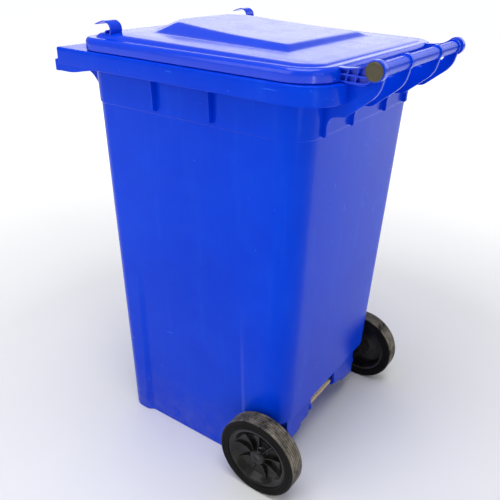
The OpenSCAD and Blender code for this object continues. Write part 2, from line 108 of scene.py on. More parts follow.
class LidSizes(bpy.types.PropertyGroup):
    """Sizes of the lid"""
    half: length("Half width", 0.28, "Half of the lid's width")
    front: length("Front", 0.2975, "Front edge of the lid, in front of the origin")
    rear: length("Rear", 0.2825, "Rear edge of the lid, behind the origin")
    front_corner: length("Front corner", 0.046, "Radius of the front corners")
    rear_corner: length("Rear corner", 0.072, "Radius of the rear corners")
    wall: length("Wall", 0.0035, "Wall thickness")
    crown_fall: length("Crown fall", 0.007, "How much lower the crown is at the rear")
    panel_front: length("Raised panel, front", 0.058, "Height of the raised panel at its front, over the rim")
    panel_rear: length("Raised panel, rear", 0.042, "Height of the raised panel at its rear, over the rim")
    arm_inner: length("Arm", 0.1975, "Inner face of a lid arm from the middle")
    arm_width: length("Arm width", 0.014, "Width of a lid arm")
    eye_radius: length("Arm eye", 0.0185, "Radius of the eye at a lid arm's end")
    curl_centre: length("Curled handle", 0.236, "Centre of a curled handle from the middle")
    curl_width: length("Curled handle width", 0.031, "Width of a curled handle")
    curl_back: length("Curled handle setback", 0.064, "Roll of a curled handle behind the lid's front edge")


class WheelSizes(bpy.types.PropertyGroup):
    """Sizes of the wheels"""
    radius: length("Tyre radius", 0.102, "Radius of the tyres")
    width: length("Tyre width", 0.046, "Width of the tyres")
    seat: length("Seat radius", 0.078, "Radius at which the tyre sits on its rim")
    hub: length("Hub radius", 0.029, "Radius of the hub")
    spokes: bpy.props.IntProperty(name="Ribs", description="Ribs on the outside of a wheel", default=9, min=3)


class Finishes(bpy.types.PropertyGroup):
    """Colours of the mouldings, the rubber and the metal"""
    blue: colour("Blue", (0.0, 0.05, 0.73), "Blue of the mouldings")
    deep_blue: colour("Deep blue", (0.0, 0.024, 0.54), "Darker blue in the clouding of the mouldings")
    pale_blue: colour("Pale blue", (0.035, 0.2, 0.95), "Pale blue of scuffs and streaks")
    black: colour("Black", (0.005, 0.005, 0.0055), "Black of the wheels")
    rubber: colour("Rubber", (0.006, 0.0058, 0.0055), "Rubber of the tyres")
    dust: colour("Dust", (0.34, 0.3, 0.24), "Dust on the tread and near the ground")
    olive: colour("Olive", (0.07, 0.058, 0.024), "Plastic of the hinge pins")
    zinc: colour("Zinc", (0.6, 0.47, 0.32), "Plated steel of the axle")


def millimetres(settings):
    """The settings of a group in millimetres, whole numbers left as they are."""
    values = {name: getattr(settings, name) for name in type(settings).__annotations__}
    return SimpleNamespace(**{n: v if isinstance(v, int) else v * 1000 for n, v in values.items()})


# ---- Curves and surfaces ----


def smooth_step(value, low, high):
    """Runs from 0 at low to 1 at high along a cubic that is level at both ends."""
    t = np.clip((value - low) / (high - low), 0, 1)
    return t * t * (3 - 2 * t)


def rounded(points, radius, steps=4):
    """A closed outline whose corners are rounded: each corner becomes a parabola that touches both edges."""
    p = np.asarray(points, float)
    before, after = np.roll(p, 1, 0) - p, np.roll(p, -1, 0) - p
    reach_b, reach_a = np.linalg.norm(before, axis=1), np.linalg.norm(after, axis=1)
    cut = np.minimum(radius, 0.45 * np.minimum(reach_b, reach_a))[:, None]
    start, end = p + before / reach_b[:, None] * cut, p + after / reach_a[:, None] * cut
    t = np.linspace(0, 1, steps + 1)[None, :, None]
    return ((1 - t) ** 2 * start[:, None] + 2 * t * (1 - t) * p[:, None]
            + t * t * end[:, None]).reshape(-1, 2)


def flowing(points, samples):
    """An open curve through the points: a Catmull-Rom spline, evenly divided in its parameter."""
    p = np.asarray(points, float)
    p = np.vstack([2 * p[0] - p[1], p, 2 * p[-1] - p[-2]])
    u = np.linspace(0, len(p) - 3 - 1e-9, samples)
    k, t = u.astype(int), (u % 1)[:, None]
    a, b, c, d = p[k], p[k + 1], p[k + 2], p[k + 3]
    return 0.5 * (2 * b + (c - a) * t + (2 * a - 5 * b + 4 * c - d) * t ** 2
                  + (3 * b - 3 * c + d - a) * t ** 3)


def inset_loop(loop, distance):
    """A closed outline moved inwards: each point goes along the normal of its neighbours' chord."""
    chord = np.roll(loop, -1, 0) - np.roll(loop, 1, 0)
    normal = np.stack([-chord[:, 1], chord[:, 0]], 1) / np.linalg.norm(chord, axis=1)[:, None]
    return loop + normal * distance


def outline(w, f, b, rf, rb, side, turn=12, ends=14):
    """Rounded plan outlines, one row for each level, anticlockwise from the front right corner: four quarter
    circles of radius rf or rb centred one radius in from both walls, straight runs between them. side is the
    number of even divisions of the right and left runs, or their places along Y."""
    w, f, b, rf, rb = np.broadcast_arrays(*(np.asarray(v, float).reshape(-1, 1) for v in (w, f, b, rf, rb)))
    quarter = np.linspace(0, np.pi / 2, turn + 1)[None]
    c, s = np.cos(quarter), np.sin(quarter)
    across = np.linspace(-1, 1, ends + 2)[None, 1:-1]
    if np.isscalar(side):
        side = (rf - f) + (b - rb - rf + f) * np.linspace(0, 1, side + 2)[None, 1:-1]
    side = np.broadcast_to(side, (len(w), np.shape(side)[-1]))
    level, flat = np.ones_like(side), np.ones_like(across)
    x = [w - rf + rf * s, w * level, w - rb + rb * c, (rb - w) * across,
         rb - w - rb * s, -w * level, rf - w - rf * c, (w - rf) * across]
    y = [rf - f - rf * c, side, b - rb + rb * s, b * flat,
         b - rb + rb * c, side[:, ::-1], rf - f - rf * s, -f * flat]
    return np.stack([np.concatenate(x, 1), np.concatenate(y, 1)], -1)


def grid(points, wrap_rows=False, wrap_cols=True, caps=False):
    """A surface on a grid of rows and columns of points: one quad for each cell, joined round where it wraps,
    and closed at its first and last rows by flat caps."""
    points = np.asarray(points, float)
    rows, cols = points.shape[:2]
    index = np.arange(rows * cols).reshape(rows, cols)
    below = index if wrap_rows else index[:-1]
    above = np.roll(index, -1, 0) if wrap_rows else index[1:]
    if wrap_cols:
        quads = np.stack([below, np.roll(below, -1, 1), np.roll(above, -1, 1), above], -1)
    else:
        quads = np.stack([below[:, :-1], below[:, 1:], above[:, 1:], above[:, :-1]], -1)
    faces = quads.reshape(-1, 4).tolist()
    if caps:
        faces += [index[0, ::-1].tolist(), index[-1].tolist()]
    return points.reshape(-1, 3), faces


def prism(loop, start, stop, axis):
    """A plate: a closed outline carried straight from start to stop along an axis, both ends closed. The
    outline's two numbers are the other two axes in the order X, Y, Z."""
    loop = np.asarray(loop, float)
    ends = np.broadcast_to(np.array([start, stop], float)[:, None, None], (2, len(loop), 1))
    both = np.broadcast_to(loop[None], (2, len(loop), 2))
    return grid(np.insert(both, "XYZ".index(axis), ends[..., 0], axis=2), caps=True)


def frame_loop(loop, width, start, stop):
    """A border: the wall between a closed outline in Y and Z and the same outline moved inwards, along X."""
    inner = inset_loop(loop, width)
    rows = [np.insert(edge, 0, x, axis=1) for edge, x in ((loop, start), (loop, stop), (inner, stop),
                                                          (inner, start))]
    return grid(rows, wrap_rows=True)


def turned(profile, centre, samples=96, axis="X", closed=False):
    """A turned shape: a profile of places along the axis and radii, carried round it in a full circle. A
    closed profile makes a ring; an open one is capped at both ends."""
    profile = np.asarray(profile, float)
    angle = np.linspace(0, 2 * np.pi, samples, endpoint=False)[None]
    along = np.repeat(profile[:, :1], samples, 1)
    points = [along, profile[:, 1:] * np.cos(angle), profile[:, 1:] * np.sin(angle)]
    if axis == "Y":
        points = [points[1], points[0], points[2]]
    return grid(np.stack(points, -1) + np.asarray(centre, float), wrap_rows=closed, caps=not closed)


def mirrored(parts):
    """The parts and their mirror images in the middle plane."""
    return parts + [(points * [-1, 1, 1], faces) for points, faces in parts]


def outward(points, faces):
    """Faces turned so that the enclosed volume, the sum over fans of triangles, is positive."""
    centre = points.mean(0)
    quads = np.array([f for f in faces if len(f) == 4])
    fans = [[f[0], f[k], f[k + 1]] for f in faces if len(f) != 4 for k in range(1, len(f) - 1)]
    triangles = np.vstack([t for t in (quads[:, [0, 1, 2]], quads[:, [0, 2, 3]],
                                       np.array(fans).reshape(-1, 3)) if len(t)])
    a, b, c = (points[triangles[:, k].astype(int)] - centre for k in range(3))
    volume = np.einsum("ij,ij->i", a, np.cross(b, c)).sum()
    return faces if volume > 0 else [f[::-1] for f in faces]


def make(name, parts, finish, body, nodes=(), bevel=0.0, sharp=38.0):
    """Makes one object of closed parts in millimetres. It rides on the body and stands for the nodes."""
    points, faces, offset = [], [], 0
    for part_points, part_faces in parts:
        faces += [[v + offset for v in face] for face in outward(part_points, part_faces)]
        points.append(part_points)
        offset += len(part_points)
    mesh = bpy.data.meshes.new(name)
    mesh.from_pydata(np.concatenate(points) * 0.001, [], faces)
    mesh.polygons.foreach_set("use_smooth", np.ones(len(mesh.polygons), bool))
    mesh.set_sharp_from_angle(angle=np.radians(sharp))
    mesh.materials.append(finish)
    mesh.update()
    piece = bpy.data.objects.new(name, mesh)
    bpy.context.scene.collection.objects.link(piece)
    if bevel:
        edges = piece.modifiers.new("Rounded edges", "BEVEL")
        edges.width, edges.segments, edges.limit_method = bevel * 0.001, 3, "ANGLE"
        edges.angle_limit, edges.harden_normals = np.radians(40), True
    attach(piece, body)
    if nodes:
        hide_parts(*nodes)
    return piece


# ---- Finishes ----


def new_group(name, inputs, outputs):
    """An empty shader group with named inputs and outputs, each a name, a kind and, for inputs, a default."""
    tree = bpy.data.node_groups.new(name, "ShaderNodeTree")
    for socket, kind, default in inputs:
        made = tree.interface.new_socket(name=socket, in_out="INPUT", socket_type=f"NodeSocket{kind}")
        made.default_value = default
    for socket, kind in outputs:
        tree.interface.new_socket(name=socket, in_out="OUTPUT", socket_type=f"NodeSocket{kind}")
    return tree, tree.nodes.new("NodeGroupInput").outputs, tree.nodes.new("NodeGroupOutput").inputs


class Wiring:
    """Adds nodes to a tree and links them."""

    def __init__(self, tree):
        self.tree = tree

    def feed(self, socket, value):
        """Links or sets one socket."""
        if isinstance(value, bpy.types.NodeSocket):
            self.tree.links.new(value, socket)
        else:
            socket.default_value = value

    def node(self, kind, settings=None, **sockets):
        """One node with its settings and its input sockets fed by name."""
        made = self.tree.nodes.new(f"ShaderNode{kind}")
        for key, value in (settings or {}).items():
            setattr(made, key, value)
        for key, value in sockets.items():
            self.feed(made.inputs[key.replace("_", " ")], value)
        return made

    def sum(self, kind, a, b=0.0):
        """A sum of two numbers of the given kind."""
        made = self.tree.nodes.new("ShaderNodeMath")
        made.operation = kind
        self.feed(made.inputs[0], a)
        self.feed(made.inputs[1], b)
        return made.outputs[0]

    def spread(self, value, low, high, to_low=0.0, to_high=1.0):
        """A number carried from one range to another and held at its ends."""
        made = self.node("MapRange", {"clamp": True}, Value=value)
        for place, number in zip((1, 2, 3, 4), (low, high, to_low, to_high)):
            self.feed(made.inputs[place], number)
        return made.outputs[0]

    def blend(self, share, a, b):
        """Colour a going over to colour b."""
        made = self.node("Mix", {"data_type": "RGBA"})
        for place, value in zip((0, 6, 7), (share, a, b)):
            self.feed(made.inputs[place], value)
        return made.outputs[2]

    def noise(self, place, scale, detail=3.0, roughness=0.5):
        """Soft noise at a place."""
        return self.node("TexNoise", Vector=place, Scale=scale, Detail=detail, Roughness=roughness).outputs[0]

    def stretch(self, place, scale, turn=(0.0, 0.0, 0.0)):
        """A place turned and stretched."""
        return self.node("Mapping", Vector=place, Scale=scale, Rotation=turn).outputs[0]


def moulding_group():
    """Group of a used moulding: clouded colour, flow streaks, scuffs and specks, dust near the ground."""
    tree, given, put = new_group(
        "used moulding",
        [("Colour", "Color", (0.5, 0.5, 0.5, 1)), ("Deep", "Color", (0.3, 0.3, 0.3, 1)),
         ("Pale", "Color", (0.8, 0.8, 0.8, 1)), ("Dust Colour", "Color", (0.3, 0.26, 0.2, 1)),
         ("Clouding", "Float", 0.5), ("Scuffs", "Float", 0.5), ("Dust", "Float", 0.3),
         ("Dust Height", "Float", 0.2), ("Gloss", "Float", 0.3), ("Grain", "Float", 0.5)],
        [("Colour", "Color"), ("Roughness", "Float"), ("Height", "Float")])
    w = Wiring(tree)
    place = w.node("TexCoord").outputs["Object"]
    cloud = w.spread(w.noise(place, 2.4, 4.0, 0.55), 0.38, 0.68)
    mottle = w.spread(w.noise(place, 17.0, 5.0, 0.65), 0.45, 0.78)
    streak = w.spread(w.noise(w.stretch(place, (34.0, 34.0, 2.4)), 1.0, 4.0, 0.6), 0.56, 0.82)
    patches = w.spread(w.noise(place, 6.5, 2.0), 0.5, 0.64)
    scratch_a = w.noise(w.stretch(place, (150.0, 16.0, 120.0), (0.5, 0.3, 0.4)), 1.0, 2.0)
    scratch_b = w.noise(w.stretch(place, (110.0, 130.0, 13.0), (0.2, 0.7, 0.1)), 1.0, 2.0)
    scratch = w.sum("MAXIMUM", w.spread(scratch_a, 0.72, 0.76), w.spread(scratch_b, 0.73, 0.77))
    speck = w.node("TexVoronoi", Vector=place, Scale=38.0).outputs["Distance"]
    chip = w.sum("MULTIPLY", w.spread(speck, 0.07, 0.045), w.spread(w.noise(place, 9.0, 1.0), 0.6, 0.66))
    marks = w.sum("MULTIPLY", w.sum("MAXIMUM", w.sum("MULTIPLY", scratch, patches), chip), given["Scuffs"])
    height = w.node("SeparateXYZ", Vector=place).outputs["Z"]
    low = w.spread(height, given["Dust Height"], 0.0)
    grime = w.sum("MULTIPLY", w.sum("MULTIPLY", low, w.spread(w.noise(place, 28.0, 6.0, 0.7), 0.36, 0.66)),
                  given["Dust"])
    tint = w.blend(w.sum("MULTIPLY", cloud, given["Clouding"]), given["Colour"], given["Deep"])
    tint = w.blend(w.sum("MULTIPLY", w.sum("MULTIPLY", streak, 0.22), given["Clouding"]), tint, given["Pale"])
    tint = w.blend(w.sum("MULTIPLY", w.sum("MULTIPLY", mottle, 0.1), given["Clouding"]), tint, given["Pale"])
    tint = w.blend(marks, tint, given["Pale"])
    w.feed(put["Colour"], w.blend(grime, tint, given["Dust Colour"]))
    rough = w.sum("ADD", given["Gloss"], w.sum("MULTIPLY", mottle, 0.07))
    rough = w.sum("ADD", rough, w.sum("MULTIPLY", w.sum("MAXIMUM", marks, grime), 0.3))
    w.feed(put["Roughness"], rough)
    peel = w.sum("MULTIPLY", w.noise(place, 95.0, 2.0), 0.6)
    fine = w.sum("MULTIPLY", w.noise(place, 620.0, 3.0, 0.6), 0.4)
    relief = w.sum("MULTIPLY", w.sum("ADD", peel, fine), given["Grain"])
    w.feed(put["Height"], w.sum("SUBTRACT", relief, w.sum("MULTIPLY", marks, 0.35)))
    return tree


def plated_group():
    """Group of plated steel: drawn lines along X, dull blotches and a little brown bloom."""
    tree, given, put = new_group(
        "plated steel",
        [("Colour", "Color", (0.6, 0.6, 0.6, 1)), ("Bloom", "Color", (0.3, 0.18, 0.08, 1)),
         ("Age", "Float", 0.4)],
        [("Colour", "Color"), ("Roughness", "Float"), ("Height", "Float")])
    w = Wiring(tree)
    place = w.node("TexCoord").outputs["Object"]
    line = w.noise(w.stretch(place, (9.0, 900.0, 900.0)), 1.0, 3.0)
    blotch = w.spread(w.noise(place, 42.0, 6.0, 0.7), 0.42, 0.7)
    rust = w.sum("MULTIPLY", w.spread(w.noise(place, 95.0, 4.0, 0.7), 0.56, 0.72), given["Age"])
    w.feed(put["Colour"], w.blend(rust, given["Colour"], given["Bloom"]))
    rough = w.sum("ADD", 0.24, w.sum("MULTIPLY", blotch, 0.22))
    w.feed(put["Roughness"], w.sum("ADD", rough, w.sum("MULTIPLY", rust, 0.3)))
    w.feed(put["Height"], w.sum("ADD", w.sum("MULTIPLY", line, 0.4), w.sum("MULTIPLY", blotch, 0.4)))
    return tree


def finish_of(name, group, inputs, constants, depth):
    """A material: the group's colour, roughness and height on the Principled shader, whose other values are
    set on its own sockets."""
    material = bpy.data.materials.new(name)
    material.use_nodes = True
    w = Wiring(material.node_tree)
    shader = material.node_tree.nodes["Principled BSDF"]
    source = w.node("Group", {"node_tree": group})
    for key, value in inputs.items():
        w.feed(source.inputs[key], value)
    for key, value in constants.items():
        w.feed(shader.inputs[key], value)
    relief = w.node("Bump", Height=source.outputs["Height"], Distance=depth)
    relief.inputs["Strength"].default_value = 1.0
    # On the tyre the dust follows the tread attribute. There is real dust on the tread's face and none in the
    # groove bottoms, which stay dark as painted shade in the grooves.
    if name == "tyre rubber with tread dust and painted groove shade":
        tread = w.node("Attribute", {"attribute_name": "tread"}).outputs["Fac"]
        w.feed(source.inputs["Dust"], tread)
    w.feed(shader.inputs["Base Color"], source.outputs["Colour"])
    w.feed(shader.inputs["Roughness"], source.outputs["Roughness"])
    w.feed(shader.inputs["Normal"], relief.outputs["Normal"])
    return material


def finish(name):
    """The named finish, made on its first use."""
    if name in bpy.data.materials:
        return bpy.data.materials[name]
    c = bpy.context.scene.bin_finishes
    groups = bpy.data.node_groups
    moulded = groups.get("used moulding") or moulding_group()
    plated = groups.get("plated steel") or plated_group()
    blue, deep, pale, black, rubber, dust, olive, zinc = (
        (*getattr(c, key), 1.0) for key in ("blue", "deep_blue", "pale_blue", "black", "rubber", "dust",
                                            "olive", "zinc"))
    grey = (0.13, 0.13, 0.135, 1.0)
    recipes = {
        "blue tub moulding": (moulded, {"Colour": blue, "Deep": deep, "Pale": pale, "Dust Colour": dust,
                                        "Clouding": 0.5, "Scuffs": 0.55, "Dust": 0.14, "Dust Height": 0.16,
                                        "Gloss": 0.2, "Grain": 0.55},
                              {"Specular IOR Level": 0.15, "Specular Tint": (0.3, 0.6, 1.0, 1.0)}, 0.0003),
        "blue lid moulding": (moulded, {"Colour": blue, "Deep": deep, "Pale": pale, "Dust Colour": dust,
                                        "Clouding": 0.3, "Scuffs": 0.45, "Dust": 0.0, "Gloss": 0.19,
                                        "Grain": 0.5},
                              {"Coat Weight": 0.1, "Coat Roughness": 0.08, "Specular IOR Level": 0.4},
                              0.0003),
        "black wheel moulding": (moulded, {"Colour": black, "Deep": (0.004, 0.004, 0.005, 1), "Pale": grey,
                                           "Dust Colour": dust, "Clouding": 0.4, "Scuffs": 0.35, "Dust": 0.06,
                                           "Dust Height": 0.3, "Gloss": 0.17, "Grain": 0.6},
                                 {"Specular IOR Level": 0.28}, 0.0003),
        "tyre rubber with tread dust and painted groove shade": (moulded, {"Colour": rubber, "Deep": (0.003, 0.003, 0.003, 1),
                                        "Pale": (0.05, 0.048, 0.045, 1), "Dust Colour": dust, "Clouding": 0.5,
                                        "Scuffs": 0.3, "Dust": 0.1, "Dust Height": 2.0, "Gloss": 0.36,
                                        "Grain": 1.0},
                              {"Specular IOR Level": 0.1}, 0.0006),
        "olive pin plastic": (moulded, {"Colour": olive, "Deep": (0.05, 0.044, 0.02, 1),
                                        "Pale": (0.2, 0.18, 0.1, 1), "Clouding": 0.6, "Scuffs": 0.5,
                                        "Dust": 0.0, "Gloss": 0.5, "Grain": 1.0}, {}, 0.0004),
        "drain hole shade": (moulded, {"Colour": (0.0, 0.006, 0.09, 1), "Deep": (0.0, 0.003, 0.05, 1),
                                       "Pale": deep, "Scuffs": 0.1, "Dust": 0.0, "Gloss": 0.5, "Grain": 0.3},
                             {}, 0.0002),
        "plated axle steel": (plated, {"Colour": zinc, "Age": 0.45}, {"Metallic": 1.0}, 0.00006),
        "bright spring steel": (plated, {"Colour": (0.66, 0.65, 0.63, 1), "Age": 0.12}, {"Metallic": 1.0},
                                0.00004),
    }
    return finish_of(name, *recipes[name])


# ---- Tub ----

SIDE_PLACES = np.concatenate([
    [-240, -234, -229, -225, -221, -217, -213, -209, -205, -201, -197, -193, -189, -184, -176],
    np.linspace(-162, 78, 13),
    [86, 91, 95, 97.6, 98.6, 99.2, 99.6, 100.2, 101.2, 103, 106, 110, 116, 124, 134]])


def panel_share(s, y, z):
    """How far a side panel is set in at y and z, from 0 to 1: soft steps at its leaning front edge and its
    rear edge, falling evenly to nothing at its top."""
    front = -s.base_front + 66 + s.panel_lean * z / s.panel_top
    rear = s.recess_front + 8
    across = smooth_step(y, front - 10, front + 12) * (1 - smooth_step(y, rear - 8, rear + 6))
    return across * np.clip(1 - z / s.panel_top, 0, 1)


def wall_points(s, z, inset):
    """The tub's wall: a plan outline that grows evenly with height, moved along its own normal by the
    collar's step less the inset, set in over the side panels, and with its lower edge lifted over the
    axle recess."""
    at = [outline(w, f, b, s.front_corner, s.rear_corner, SIDE_PLACES, turn=14, ends=26)[0]
          for w, f, b in ((s.base_half, s.base_front, s.base_rear), (s.top_half, s.top_front, s.top_rear))]
    grown = outline(s.base_half + 1, s.base_front + 1, s.base_rear + 1, s.front_corner + 1, s.rear_corner + 1,
                    SIDE_PLACES, turn=14, ends=26)[0]
    normal = grown - at[0]
    cut = s.recess_front
    lift = np.interp(at[0][:, 1], cut + np.array([-1.4, 0, 0.9, 3, 7.5, 15.5, 26]),
                     s.recess_top * np.array([0, 0.82, 0.89, 0.945, 0.98, 0.996, 1]))[None]
    z = np.asarray(z, float)[:, None]
    level = z + lift * (1 - np.clip(z / 220, 0, 1))
    plan = at[0][None] + (at[1] - at[0])[None] * (level / s.collar)[..., None]
    proud = s.collar_step * smooth_step(level, s.collar - 2, s.collar + 1.5)
    plan = plan + normal[None] * (proud - np.asarray(inset, float)[:, None])[..., None]
    set_in = s.panel_depth * panel_share(s, plan[..., 1], level) * (np.abs(normal[None, :, 0]) > 0.99)
    plan[..., 0] -= np.sign(plan[..., 0]) * set_in
    return np.concatenate([plan, level[..., None]], -1)


def wall_half(s, y, z):
    """Half width of the tub's outside at y and z: the side wall, or the corner's quarter circle."""
    share = z / s.collar
    w = s.base_half + (s.top_half - s.base_half) * share
    f = s.base_front + (s.top_front - s.base_front) * share
    b = s.base_rear + (s.top_rear - s.base_rear) * share
    over_rear, over_front = np.maximum(y - b + s.rear_corner, 0), np.maximum(s.front_corner - f - y, 0)
    rear = s.rear_corner - np.sqrt(np.maximum(s.rear_corner ** 2 - over_rear ** 2, 0))
    front = s.front_corner - np.sqrt(np.maximum(s.front_corner ** 2 - over_front ** 2, 0))
    return w - rear - front - s.panel_depth * panel_share(s, y, z)


class BIN_OT_tub(bpy.types.Operator):
    """Adds the tub's wall, its floor with the recess over the axle, and the foot ring"""
    bl_idname = "bin.add_tub"
    bl_label = "Tub"

    def execute(self, context):
        s = millimetres(context.scene.bin_tub)
        blue = finish("blue tub moulding")
        middle = np.concatenate([
            [3, 10, 22, 40, 62, 86, 110, 134, 160, 190, 222, 256, 292, 330, 368, 404, 436, 462, 482, 496, 508,
             524, 556, 610, 680, 750, 810, 840],
            s.collar + np.array([-4, -2, -1, 0, 1, 2, 5, 14, 34, 62, 90]), [s.rim_top - 3]])
        z = np.concatenate([[0, 0.3, 1.2], middle, middle[::-1], [1.2, 0.3]])
        skin = np.zeros_like(middle)
        inset = np.concatenate([[s.wall / 2, 1.1, 0.3], skin, skin + s.wall, [s.wall - 0.3, s.wall - 1.1]])
        make("tub_wall", [grid(wall_points(s, z, inset), wrap_rows=True)], blue, "bin",
             ["tub"])

        front, rear, cut, top = 3 - s.base_front, s.base_rear + 5, s.recess_front, s.recess_top
        path = rounded([(front, 8), (cut - 7, 8), (cut - 6, 0.6), (cut, 0.6), (cut, top), (rear, top),
                        (rear, top + 6), (cut - 6, top + 6), (cut - 6, 14), (front, 14)], 7, 6)
        half = wall_half(s, path[:, 0], path[:, 1]) - 2
        share = np.linspace(-1, 1, 9)[:, None]
        slab = np.stack([share * half[None],
                         *np.broadcast_arrays(path[None, :, 0], path[None, :, 1], share)[:2]], -1)
        make("tub_floor", [grid(slab, caps=True)], blue, "bin", ["tub"])

        edge = rounded([(1.5, 9), (1.5, 0.5), (19, 0.5), (19, 9)], 1.5, 3)
        foot = outline(s.base_half - s.panel_depth - edge[:, 0], s.base_front - edge[:, 0],
                       cut - 1 - edge[:, 0], 34, 6 + 0 * edge[:, 0], 20)
        foot = np.concatenate([foot, np.broadcast_to(edge[:, None, 1:], (*foot.shape[:2], 1))], -1)
        make("foot_ring", [grid(foot, wrap_rows=True)], blue, "bin", ["tub"])
        return {"FINISHED"}


class BIN_OT_rim(bpy.types.Operator):
    """Adds the rim with its skirt and bead, the lifting lip in front, and the gussets under the sides"""
    bl_idname = "bin.add_rim"
    bl_label = "Rim and lifting lip"

    def execute(self, context):
        s = millimetres(context.scene.bin_tub)
        lid = millimetres(context.scene.bin_lid)
        blue, top = finish("blue tub moulding"), s.rim_top
        share = top / s.collar
        mouth = [s.base_half + (s.top_half - s.base_half) * share + s.collar_step - s.wall,
                 s.base_front + (s.top_front - s.base_front) * share + s.collar_step - s.wall,
                 s.base_rear + (s.top_rear - s.base_rear) * share + s.collar_step - s.wall,
                 s.front_corner - s.wall, s.rear_corner - s.wall]
        edge = [s.rim_half, s.rim_front, s.rim_rear, 5, 75]
        inner, outer = (outline(*v, 44, turn=14, ends=30)[0] for v in (mouth, edge))
        inner_normal, outer_normal = (outline(*(np.array(v) + 1), 44, turn=14, ends=30)[0] - at
                                      for v, at in ((mouth, inner), (edge, outer)))
        deep = s.skirt
        section = np.array([
            (0, 0, -1.2), (0, 0.35, -0.35), (0, 1.2, 0), (0.5, 0, 0), (1, -9, 0), (1, -3.2, 0),
            (1, -1.4, -0.4), (1, -0.4, -1.4), (1, 0, -3.2), (1, 0, -9), (1, 0, 3 - deep),
            (1, -0.4, 1.2 - deep), (1, -1.2, 0.2 - deep), (1, -2, -deep), (1, -2.8, 0.2 - deep),
            (1, -3.6, 1.2 - deep), (1, -4, 3 - deep), (1, -4, -8), (1, -4.8, -5.2), (1, -8, -4), (0.5, 0, -4),
            (0, 1, -4), (0, 0, -3)])
        t, off, z = (section[:, k, None, None] for k in range(3))
        plan = inner * (1 - t) + outer * t + (inner_normal * (1 - t) + outer_normal * t) * off
        ring = np.concatenate([plan, np.broadcast_to(top + z, (*plan.shape[:2], 1))], -1)
        make("rim", [grid(ring, wrap_rows=True)], blue, "bin", ["tub"])

        bead = rounded([(8.5, -2), (8.8, 10), (12.2, 10), (12.5, -2)], 1.4, 3)
        run = outline(lid.half - bead[:, 0], lid.front - bead[:, 0], lid.rear - 5 - bead[:, 0],
                      lid.front_corner - bead[:, 0], 60, 30)
        run = np.concatenate([run, np.broadcast_to(top + bead[:, None, 1:], (*run.shape[:2], 1))], -1)
        make("rim_bead", [grid(run, wrap_rows=True)], blue, "bin", ["tub"])

        face, low = -s.rim_front, top - s.lip_drop
        step, half = face - s.lip_step, s.rim_half
        board = [(face - 0.3, top - 24), (step, top - 26), (step, low), (face + 4.5, low),
                 (face + 4.5, top - 24)]
        cheek = rounded([(step + 0.6, low + 0.6), (step + 0.6, top - 27), (face + 2, top - 25),
                         (face + 2, top - 12), (face + 115, top - 12), (face + 115, top - 35),
                         (face + 98, top - 38.5), (face + 78, top - 42), (face + 56, top - 46.5),
                         (face + 38, low + 0.4)], 5)
        gusset = rounded([(face + 2, top - 3), (face + 2, low + 1), (face + 20, low), (face + 33, low - 5),
                          (face + 45, low - 13), (face + 54, low - 24), (face + 59, low - 31),
                          (face + 60, low - 36), (4.5 - s.top_front, low - 36),
                          (4.5 - s.top_front, top - 3)], 6)
        ribs = [prism([(face + 2, top - 22), (face + 8, top - 24), (1 - s.top_front, top - 14),
                       (1 - s.top_front, top - 3), (face + 2, top - 3)], x - 1.6, x + 1.6, "X")
                for x in (-180, -120, -60, 0, 60, 120, 180)]
        make("lifting_lip",
             [prism(board, -half, half, "X")] + ribs
             + mirrored([prism(cheek, half - 3.6, half - 0.4, "X"),
                         prism(gusset, s.top_half - 34, s.top_half - 30, "X")]),
             blue, "bin", ["tub"], bevel=0.9)

        low = top - deep
        web = rounded([(s.top_half, top - 3), (half - 11, top - 3), (half - 11, low), (half - 12.5, low - 30),
                       (half - 14, low - 60), (half - 15.5, low - 62.5), (s.top_half, low - 64)], 1.5)
        parts = mirrored([prism(web, y - 4, y, "Y") for y in (-96.5, 47.5)])
        make("side_gussets", parts, blue, "bin", ["tub"], bevel=0.8)
        return {"FINISHED"}


